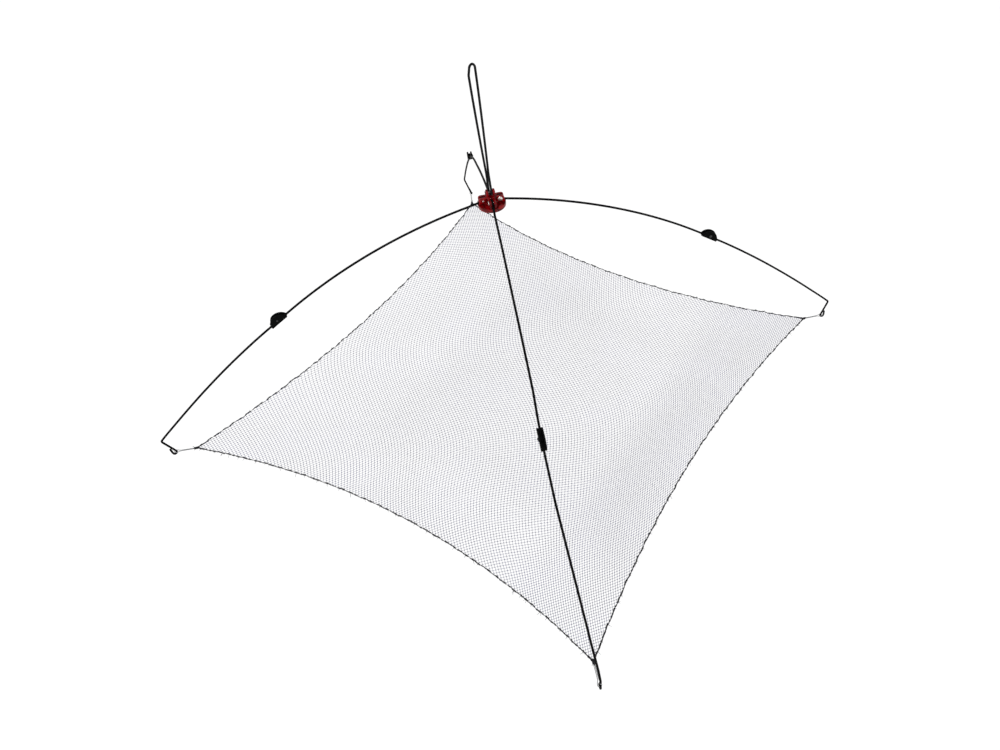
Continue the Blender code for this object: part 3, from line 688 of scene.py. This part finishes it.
def make_hub():
    """Base disc with a raised rim, boss between the towers, post, eight cheeks and two ears, moulded as one.

    The base is turned about z, and its rim dips at the slots. The rest are slabs.
    """
    top, under, w = BASE_TOP, BASE_TOP - SINK, SLOT_W / 2
    low = [(r, BASE_BOTTOM + z, 0) for r, z in UNDERSIDE]
    foot = (BASE_R - BASE_EDGE, BASE_BOTTOM + BASE_EDGE)
    low += [(r, z, 0) for r, z in arc(foot, BASE_EDGE, -pi / 2, pi / 2, 8)]
    rim = [(BASE_R, top - 3 * RIM_ROOT, 0)]
    rim += [(BASE_R - RIM_EDGE * (1 - cos(u)), top - RIM_ROOT + (RIM_H + RIM_ROOT) * sin(u), sin(u))
            for u in np.linspace(0.3, pi / 2, 5)]
    rim += [(BASE_R - RIM_W + RIM_EDGE * (1 - cos(u)), top + RIM_H * sin(u), sin(u))
            for u in np.linspace(pi / 2, 0, 6)]
    inside = [(r, top, 0) for r in INSIDE_RINGS]
    base, boss, cheeks, ears = Shape(), Shape(), Shape(), Shape()
    base.turned([(r, z, dip * RIM_H) for r, z, dip in low + rim + inside], 288, upright(0), slot_dip)
    # Four quarter sectors of the boss, parted by the rods' slots, and the post
    start = np.arctan2(w, (BOSS_R**2 - w**2) ** 0.5)
    rounded = arc((0, 0), BOSS_R, start, pi / 2 - 2 * start, 14)
    sector = joined(((SECTOR_ROOT, w),), rounded, ((w, SECTOR_ROOT),))
    for k in range(4):
        boss.slab(sector, under, BOSS_TOP, BOSS_EDGE, quarter_turn(k) @ upright(0))
    boss.slab(arc((0, 0), POST_R, 0, 2 * pi, 48)[:-1], under, POST_TOP, POST_EDGE, upright(0), 5)
    # A cheek's outline stands in local x (outwards) and y (up), and its thickness runs along the pin
    tab = joined(
        ((-TOWER_R, under), (TOWER_R, under)),
        arc((TOWER_R - TOWER_ROUND, TOWER_TOP - TOWER_ROUND), TOWER_ROUND, 0, pi / 2, 12),
        arc((INNER_ROUND - TOWER_R, TOWER_TOP - INNER_ROUND), INNER_ROUND, pi / 2, pi / 2, 5))
    for k in range(4):
        place = quarter_turn(k) @ upright(0, HINGE_RADIUS) @ STAND
        cheeks.slab(tab, w, TOWER_W / 2, CHEEK_EDGE, place)
        cheeks.slab(tab, -TOWER_W / 2, -w, CHEEK_EDGE, place)
    root, place = POST_TOP - EAR_SINK - CROWN_PIN_H, upright(CROWN_PIN_H) @ STAND
    tab = joined(((-EAR_R, root), (EAR_R, root)), arc((0, 0), EAR_R, 0, pi, 28))
    ears.slab(tab, EAR_INNER, EAR_INNER + EAR_T, EAR_EDGE, place, 6)
    ears.slab(tab, -EAR_INNER - EAR_T, -EAR_INNER, EAR_EDGE, place, 6)
    for kind, shape in (("base", base), ("boss_and_post", boss), ("cheeks", cheeks), ("ears", ears)):
        shape.make("hub_" + kind, RED, "hub_body", "red_plastic", "root", crease=50)


def rivet(radius, half, head_d, dome):
    """A rivet's profile from the tail's rounded end to the domed head, as (radius, height)."""
    tail = [(radius * r, -half - TAIL + TAIL * z) for r, z in RIVET_TAIL_shares]
    under, brim, wide = half + GAP, half + GAP + HEAD_BRIM, head_d / 2
    head = [(radius, under), (wide - HEAD_EDGE, under), (wide, under + HEAD_EDGE_H), (wide, brim)]
    u = np.linspace(0.12, 1.0, 8)[:-1] * pi / 2
    head += [(wide * cos(a), brim + (dome - HEAD_BRIM) * sin(a)) for a in u]
    return tail + head + [(0.04 * wide, under + dome)]


def make_pins():
    """Rivets: head on the right-hand side of their arm, pin through the cheeks, small tail on the left."""
    crown = Shape()
    crown.turned(rivet(CROWN_PIN_R, EAR_INNER + EAR_T, 2 * CROWN_PIN_R + 2 * HEAD_T, HEAD_T), 40,
                 upright(CROWN_PIN_H) @ STAND)
    crown.make("crown_rivet", DULL, "crown_pin", "bright_steel", "root", crease=50)
    for name, k in ARMS:
        hub = Shape()
        hub.turned(rivet(PIN_R, TOWER_W / 2, HUB_HEAD_D, HEAD_T + 0.0002), 48,
                   quarter_turn(k) @ upright(0, HINGE_RADIUS) @ STAND)
        hub.make("hub_rivet_" + name, BRIGHT, "hub_pin_" + name, "bright_steel", "root", crease=50)
        clip, middle = Shape(), Vector(in_world(CLIP_PIN, k, leaning(CLIP_ROD[0], k)))
        clip.turned(rivet(PIN_R, CLIP_W / 2, CLIP_HEAD_D, CLIP_HEAD_share * HEAD_T), 40,
                    Matrix.Translation(middle) @ quarter_turn(k) @ STAND)
        clip.make("clip_rivet_" + name, DARK_PIN, "clip_pin_" + name, "black_steel", "outer_arm_" + name,
                  crease=50)


# Arms


def inner_rod():
    """The inner rod's centreline: hub pin's eye, springy run, straight stretch, clip pin's eye."""
    first = arc((0, 0), EYE_R, START_TILT - pi / 2 - EYE_WRAP, EYE_WRAP, 40)
    run = bowed(HUB_TANGENT, START_TILT, CLIP_ROD - CLIP_STRAIGHT * CLIP_DIR, CLIP_TILT, 90)
    last = arc(CLIP_PIN, EYE_R, CLIP_TILT - pi / 2, EYE_WRAP, 40)
    return joined(first[:-1], run, last)


def outer_rod(k):
    """The outer rod's centreline: straight in the clip, springy run, bend, leg and the narrow closed eye.

    The eye's points, q off the leg's line, are turned about it: q cos a in the arm's plane, q sin a sideways.
    """
    leg_tilt, leg_long, _, twist = LEGS[k]
    start = CLIP_ROD + (EYE_R + ROD_R + 3 * GAP) * CLIP_DIR
    bend_turn = BEND_TILT - leg_tilt
    into, leg = direction(BEND_TILT), direction(leg_tilt)
    cut = BEND_R * tan(bend_turn / 2)
    run = bowed(CLIP_ROD + CLIP_STRAIGHT * CLIP_DIR, CLIP_TILT, BEND - cut * into, BEND_TILT, 80)
    middle = run[-1] + BEND_R * np.array((sin(BEND_TILT), -cos(BEND_TILT)))
    bend = arc(middle, BEND_R, BEND_TILT + pi / 2, -bend_turn, 12)
    end = BEND + leg_long * leg
    out = np.array((-leg[1], leg[0]))
    eye = arc(end + TIP_EYE_R * out, TIP_EYE_R, leg_tilt - pi / 2, pi, 20)
    touch = end + (2 * ROD_R + GAP) * out - TIP_EYE_L * leg
    back = bowed(eye[-1], leg_tilt + pi, touch, leg_tilt + pi + TIP_CLOSE, 14)
    eye = joined(eye, back[1:])
    off = ((eye - end) @ out)[:, None]
    path = joined(start[None], run, bend[1:], eye - (1 - cos(twist)) * off * out)
    return path, astray(path, k) + joined(np.zeros(len(path) - len(eye)), sin(twist) * off[:, 0])


def make_rods(arm, k):
    up = turn((0.0, 1.0, 0.0), k)
    inner = inner_rod()
    for kind, (path, side) in (("inner", (inner, astray(inner, k))), ("outer", outer_rod(k))):
        rod = Shape()
        rod.tube(in_world(path, k, side), up, ROD_R + COAT, 20)
        rod.make(f"{kind}_wire_{arm}", ROD, f"{kind}_rod_{arm}", "rod_steel", f"{kind}_arm_{arm}")


def make_clip(arm, k):
    """A fold clip: two cheeks with rounded edges, the floor between them and the core round the outer rod."""
    rod_z, half = CLIP_FLOOR + GAP + ROD_R, CLIP_L / 2
    low, near, far = -rod_z, CLIP_SHIFT - half, CLIP_SHIFT + half
    shares = np.array(CLIP_OUTLINE_shares)[1:-1]
    bow = through(columns(CLIP_SHIFT + shares[:, 0] * half, shares[:, 1] * CLIP_H - rod_z), 5)
    outline = joined(((near, low),), bow, ((far, low),))[::-1]
    middle = (HINGE_RADIUS + CLIP_ROD[0], leaning(CLIP_ROD[0], k), HUB_Z + CLIP_ROD[1])
    place = quarter_turn(k) @ Matrix.Translation(middle) @ Matrix.Rotation(-CLIP_TILT, 4, "Y") @ STAND
    shape = Shape()
    shape.slab(outline, SLOT_W / 2, CLIP_W / 2, CLIP_EDGE, place, 5)
    shape.slab(outline, -CLIP_W / 2, -SLOT_W / 2, CLIP_EDGE, place, 5)
    clear, deep, inset = EYE_R + ROD_R + 2 * GAP, SLOT_W / 2 + 0.0002, CLIP_INSET
    under, crest = -ROD_R - GAP, 2 * EYE_R - ROD_R - GAP
    floor = ((near + inset, low), (far - inset, low), (far - inset, under), (near + inset, under))
    core = ((clear, under - inset), (far - inset / 2, under - inset), (far - inset, 0.0),
            (far - 3 * inset, 0.3 * CLIP_H - rod_z), (far - 6.5 * inset, crest), (clear, crest))
    for part in (floor, core):
        shape.slab(part, -deep, deep, GAP, place)
    shape.make("clip_body_" + arm, BLACK, "fold_clip_" + arm, "black_plastic", "outer_arm_" + arm, crease=50)


make_hub()
make_pins()
for name, k in ARMS:
    make_rods(name, k)
    make_clip(name, k)


# Net, edge ropes and corner knots


def edge_point(k, share):
    """Points on side k of the net: the chord between its corners, drawn in by 4 draw share (1 - share)."""
    a, b = (turn((CORNER_RADIUS, 0.0, HUB_Z - NET_FALL), j) for j in (k, k + 1))
    middle = (a + b) / 2
    inward = -unit(np.array((middle[0], middle[1], 0.0)))
    share = np.asarray(share)[..., None]
    return (1 - share) * a + share * b + inward * EDGE_DRAWS[k] * 4 * share * (1 - share)


# How the meshes lie: threads met a metre on the way along x, y, x + y and x - y, between the given places,
# first of those that run roughly along x, then along y. The net keeps slanted bands from lying folded, and
# bunches along its front-right rope.
LIE = (
    ((1, 0), (-0.60, -0.30, -0.24, -0.18, -0.12, 0.00, 0.06, 0.12, 0.18, 0.60),
     (58, 65, 44, -4, -29, -28, -6, 25, 42, 21), (123, 190, 179, 171, 167, 149, 141, 138, 135, 135)),
    ((0, 1), (-0.60, -0.30, -0.20, -0.10, 0.06, 0.20, 0.60),
     (103, 152, 149, 148, 141, 155, 156), (66, 83, 55, 4, -25, 17, 36)),
    ((1, 1), (-0.45, -0.36, 0.36, 0.45, 0.70), (4, 0, 0, 32, 50), (4, 0, 0, 37, 35)),
    ((1, -1), (-0.70, -0.36, 0.36, 0.48, 0.70), (-6, 0, 0, -22, -55), (48, 0, 0, 1, 6)),
)
THREAD_R, MESH_KNOT_R, MESH_KNOT_L, ROPE_MARGIN = 0.00031, 0.00090, 0.0013, 0.0006


def sides_inside(x, y):
    """How far (x, y) lies inside each side: half the square, less the reach outwards and 4 draw u (1 - u)."""
    half = CORNER_RADIUS * cos(pi / 4)
    out = []
    for k, draw in enumerate(EDGE_DRAWS):
        c, d = cos(pi / 4 + k * pi / 2), sin(pi / 4 + k * pi / 2)
        u = np.clip(0.5 + (c * y - d * x) / (2 * half), 0, 1)
        out.append(half - c * x - d * y - 4 * draw * u * (1 - u))
    return out


def hung(x, y):
    """The net's surface: rope height - 16 sag s (1-s) t (1-t), s and t the shares of the way across."""
    front_right, right_back, back_left, left_front = sides_inside(x, y)
    s, t = left_front / (left_front + right_back), front_right / (front_right + back_left)
    return columns(x, y, HUB_Z - NET_FALL - NET_SAG * 16 * s * (1 - s) * t * (1 - t))


def threads_met(x, y):
    """Both counts of threads from the middle to (x, y), and how they grow along x and along y.

    Each count is a sum over the four ways: the running area under the straight lines between its numbers.
    """
    count, growth = np.zeros((2,) + x.shape), np.zeros((2, 2) + x.shape)
    fine = np.linspace(-1.5, 1.5, 3001)
    for (along_x, along_y), places, *numbers in LIE:
        way = along_x * x + along_y * y
        for kind in (0, 1):
            rate = np.interp(fine, places, numbers[kind])
            area = joined((0.0,), np.cumsum(0.5 * (rate[1:] + rate[:-1]) * np.diff(fine)))
            count[kind] += np.interp(way, fine, area - np.interp(0.0, fine, area))
            here = np.interp(way, places, numbers[kind])
            growth[kind, 0] += along_x * here
            growth[kind, 1] += along_y * here
    return count, growth


def mesh_places():
    """Where the threads cross: Newton steps from an even grid to where both counts end in a half."""
    most, step = np.arange(-150, 151), 0.7
    wanted = np.stack(np.meshgrid(most, most, indexing="ij")) + 0.5
    x, y = wanted[1] / 150, wanted[0] / 148
    for _ in range(30):
        count, ((a, b), (c, d)) = threads_met(x, y)
        p, q = wanted - count
        det = a * d - b * c
        x, y = x + step * (d * p - b * q) / det, y + step * (a * q - c * p) / det
    return x, y


def thread_runs(x, y):
    """One family of threads, a row each: places in order, run number, quarter, and whether one is a crossing.

    A run starts where its thread enters the net or a new quarter. It ends where the distance to the next rope
    falls to the margin, or on the first crossing of the next quarter.
    """
    depth = np.min(sides_inside(x, y), 0) - ROPE_MARGIN
    inside = (depth > 0) & (np.maximum(np.abs(x), np.abs(y)) < CORNER_RADIUS)
    inside[:, 0] = inside[:, -1] = False
    quarter = np.where(np.abs(x) > np.abs(y), np.where(x > 0, 0, 2), np.where(y > 0, 1, 3))
    index = np.arange(x.size).reshape(x.shape)
    fresh = inside.copy()
    fresh[:, 1:] &= ~inside[:, :-1] | (quarter[:, 1:] != quarter[:, :-1])
    run = np.cumsum(fresh.ravel()).reshape(x.shape)

    def between(row, one, other):
        """The place on the way from a crossing inside to one outside where the depth is nil."""
        share = depth[row, one] / (depth[row, one] - depth[row, other])
        return [c[row, one] + share * (c[row, other] - c[row, one]) for c in (x, y)]

    parts = [(x[inside], y[inside], run[inside], quarter[inside], index[inside], 1)]
    row, col = np.nonzero(inside[:, 1:] & ~inside[:, :-1])
    at = row, col + 1
    parts.append((*between(row, col + 1, col), run[at], quarter[at], index[at] - 0.5, 0))
    at = row, col = np.nonzero(inside[:, :-1] & ~inside[:, 1:])
    parts.append((*between(row, col, col + 1), run[at], quarter[at], index[at] + 0.5, 0))
    at = row, col = np.nonzero(inside[:, :-1] & inside[:, 1:] & (quarter[:, :-1] != quarter[:, 1:]))
    parts.append((x[row, col + 1], y[row, col + 1], run[at], quarter[at], index[at] + 0.5, 0))
    px, py, run, quarter, order, crossing = (
        np.concatenate([np.broadcast_to(p[n], p[0].shape) for p in parts]) for n in range(6))
    sort = np.argsort(order, kind="stable")
    return hung(px[sort], py[sort]), run[sort], quarter[sort], crossing[sort] > 0


def knotted(points, run, crossing):
    """A thread's places with two more beside every crossing, and the radius: thick at the knot, else thin."""
    same = np.diff(run) == 0
    before = np.flatnonzero(joined((False,), same) & crossing)
    after = np.flatnonzero(joined(same, (False,)) & crossing)
    toward = points[before] + unit(points[before - 1] - points[before]) * MESH_KNOT_L
    away = points[after] + unit(points[after + 1] - points[after]) * MESH_KNOT_L
    order = np.argsort(joined(np.arange(len(points)) * 3.0, before * 3.0 - 1, after * 3.0 + 1))
    thin = np.full(len(before) + len(after), THREAD_R)
    radius = joined(np.where(crossing, MESH_KNOT_R, THREAD_R), thin)
    points, run = joined(points, toward, away), joined(run, run[before], run[after])
    return points[order], run[order], radius[order]


def make_net():
    """Four quarters of thin knotted twine. The threads of one family swell at every crossing."""
    x, y = mesh_places()
    level, upright_ones = thread_runs(x, y), thread_runs(x.T, y.T)
    made = {}
    for name, k in ARMS:
        shape = Shape()
        points, run, quarter, _ = level
        shape.cords(points[quarter == k], run[quarter == k], UP, THREAD_R, 3)
        points, run, quarter, crossing = upright_ones
        points, run, radius = knotted(points[quarter == k], run[quarter == k], crossing[quarter == k])
        shape.cords(points, run, UP, radius, 3)
        made[name] = shape.make("net_quarter_" + name, NET, "net_panel", "netting", "root")
    return made


# An edge rope's strands, how it wanders and swells, its hitches of thin cord and their loose ends
STRAND_R, STRAND_OUT, ROPE_LAY = 0.00064, 0.0006, 0.016
WANDER_SIDE, WANDER_UP, WANDER_FADE, WANDER_WAVES = 0.0013, 0.0016, 0.03, (0.019, 0.031, 0.052, 0.093)
LUMP_share, LUMP_WAVES = 0.75, (0.011, 0.019, 0.034)
SWELL_share, SWELL_L, FRONT_SWELL = 1.2, 0.014, 0.0003
HITCH_FIRST, HITCH_EVERY, HITCH_STRAY = 0.016, 0.0205, 0.008
HITCH_L, HITCH_R, HITCH_CORD_R, HITCH_TURNS, HITCH_STEPS = 0.0075, 0.0015, 0.00045, 3, 20
LOOSE_R, LOOSE_SHORT, LOOSE_LONG, LOOSE_STEPS = 0.00042, 0.0020, 0.0085, 6


def waves(run, lengths, chance):
    """The mean of sines of run, one for each wave length, each started at random."""
    return np.sin(2 * pi * run[:, None] / lengths + chance.uniform(0, 2 * pi, len(lengths))).mean(1)


def make_edge_rope(arm, k):
    """Two strands laid together along a drawn-in side, lashed to the net by hitches with short loose ends.

    strand = path + q (cos w n + sin w b), w = 2 pi run / lay, and half a turn on for the other. The path's
    wandering and the strands' lumps are means of sines, and a hitch is three turns of thin cord about them.
    """
    chance = np.random.default_rng(11 + k)
    path = even(edge_point(k, np.linspace(0.003, 0.997, 900)), 0.0016)
    run = run_of(path)
    near_end = np.minimum(run, run[-1] - run)
    side = unit(np.cross(unit(np.gradient(path, axis=0)), UP))
    for way, size in ((side, WANDER_SIDE), (UP, WANDER_UP)):
        stray = size * waves(run, WANDER_WAVES, chance) * np.minimum(1, near_end / WANDER_FADE)
        path = path + way * stray[:, None]
    shape = Shape()
    w = 2 * pi * run / ROPE_LAY
    swell = LUMP_share * waves(run, LUMP_WAVES, chance) + SWELL_share * np.exp(-near_end / SWELL_L)
    thick = STRAND_R * (1 + swell)
    if arm == "front":
        thick = thick + FRONT_SWELL * (1 - run / run[-1])
    for phase in (0, pi):
        shape.tube(path + STRAND_OUT * spun(w + phase, side, UP), UP, thick, 8)
    places = np.arange(HITCH_FIRST, run[-1] - HITCH_FIRST, HITCH_EVERY)
    places = places + chance.uniform(-HITCH_STRAY, HITCH_STRAY, len(places))
    along = unit(np.gradient(path, axis=0))
    centre, along, out = (columns(*(np.interp(places, run, v) for v in q.T)) for q in (path, along, side))
    n, turns = len(places), np.linspace(0, 2 * pi * HITCH_TURNS, HITCH_STEPS)
    coil = (centre[:, None] + along[:, None] * ((turns / turns[-1] - 0.5) * HITCH_L)[:, None]
            + HITCH_R * spun(turns, out[:, None], UP))
    shape.cords(coil.reshape(-1, 3), np.repeat(np.arange(n), HITCH_STEPS), np.repeat(along, HITCH_STEPS, 0),
                HITCH_CORD_R, 6)
    share = np.linspace(0, 1, LOOSE_STEPS)
    for _ in range(2):
        heading = unit(0.7 * out + chance.uniform(-1, 1, (n, 3)))
        reach = chance.uniform(LOOSE_SHORT, LOOSE_LONG, n)[:, None] * share
        tail = centre[:, None] + reach[..., None] * heading[:, None] - UP * (reach * share * 0.5)[..., None]
        shape.cords(tail.reshape(-1, 3), np.repeat(np.arange(n), LOOSE_STEPS), (0.21, 0.13, 1.0),
                    np.tile(LOOSE_R * (1 - 0.5 * share), n), 5)
    sides = f"{arm}_{ARMS[(k + 1) % 4][0]}"
    return shape.make("edge_cord_" + sides, ROPE, "edge_rope_" + sides, "black_cord", "root")


# A corner knot: turns of cord, their pitch, radius and thickness, the ropes' ends inside, and its loose tails
WOUND_TURNS, WOUND_PITCH, WOUND_R, WOUND_CORD_R, CORE_R = 3.3, 0.0022, 0.0017, 0.0012, 0.0011
KNOT_TAIL_R, KNOT_TAILS = 0.0006, ((-0.4, 0.7, 0.009), (0.5, 0.1, 0.005))


def make_knot(arm, k):
    """A stopper knot: cord wound round the ropes' ends, (pitch w, R cos w, R sin w), with two loose tails."""
    middle = np.array((CORNER_RADIUS + KNOT_SHIFT, 0.0, HUB_Z - NET_FALL))
    shape = Shape()
    w = np.linspace(0, 2 * pi * WOUND_TURNS, 130)
    run = WOUND_PITCH / (2 * pi) * (w - w[-1] / 2)
    helix = middle + columns(run, WOUND_R * np.cos(w), WOUND_R * np.sin(w))
    shape.tube(turn(helix, k), turn((1.0, 0, 0), k), WOUND_CORD_R, 10)
    core = middle + np.linspace(-KNOT_L / 2, KNOT_L / 2, 14)[:, None] * (1.0, 0.0, 0.0)
    shape.tube(turn(core, k), turn((0, 1.0, 0), k), CORE_R, 12)
    u = np.linspace(0, 1, 14)[:, None]
    for y, z, long in KNOT_TAILS:
        tail = middle + (0.002, 0, 0) + long * u * np.array((0.5, y, z)) * (1 + 0.2 * u)
        tail = tail - (0, 0, 0.004) * u**2
        shape.tube(turn(tail, k), turn((0, 0.2, 1.0), k), KNOT_TAIL_R * (1 - 0.4 * u[:, 0]), 7)
    return shape.make("knot_" + arm, ROPE, "corner_knot_" + arm, "black_cord", "root")


net_pieces = make_net()
for name, k in ARMS:
    rope = make_edge_rope(name, k)
    knot = make_knot(name, k)


# Floor, light


def make_floor():
    """A plain white floor well below the net."""
    f = Finish("floor_white", Roughness=0.9)
    f.set(Base_Color=f.mix(f.noise(f.place(), 2.5, 3), (0.93, 0.93, 0.93), (0.95, 0.95, 0.95)))
    mesh = bpy.data.meshes.new("floor")
    half, z = 45.0, -1.55
    corners = [(-half, -half, z), (half, -half, z), (half, half, z), (-half, half, z)]
    mesh.from_pydata(corners, [], [(0, 1, 2, 3)])
    mesh.materials.append(f.material)
    shown("floor", mesh)


def make_light(name, place, aim, size, power):
    """A round softbox of a size in metres, or, with no size, a wide far lamp."""
    data = bpy.data.lights.new(name, "AREA" if size else "SUN")
    data.energy = power
    if size:
        data.shape, data.size = "DISK", size
    else:
        data.angle = radians(8)
    ob = shown(name, data)
    ob.location = place
    ob.rotation_mode = "QUATERNION"
    ob.rotation_quaternion = (Vector(aim) - Vector(place)).to_track_quat("-Z", "Y")


make_floor()
make_light("key_lamp", (1.8, -0.6, 2.3), (0, 0, 0), None, 0.9)
make_light("left_softbox", (0.6, -2.8, 1.4), (0, 0, -0.5), 0.8, 6)
make_light("right_softbox", (1.8, 2.4, 1.2), (0, 0, -0.5), 0.7, 5)
world = bpy.data.worlds.new("studio")
world.use_nodes = True
background = world.node_tree.nodes["Background"].inputs
background[0].default_value, background[1].default_value = (1.0, 1.0, 1.0, 1.0), 0.875
bpy.context.scene.world = world
bpy.context.scene.view_settings.view_transform = "Standard"
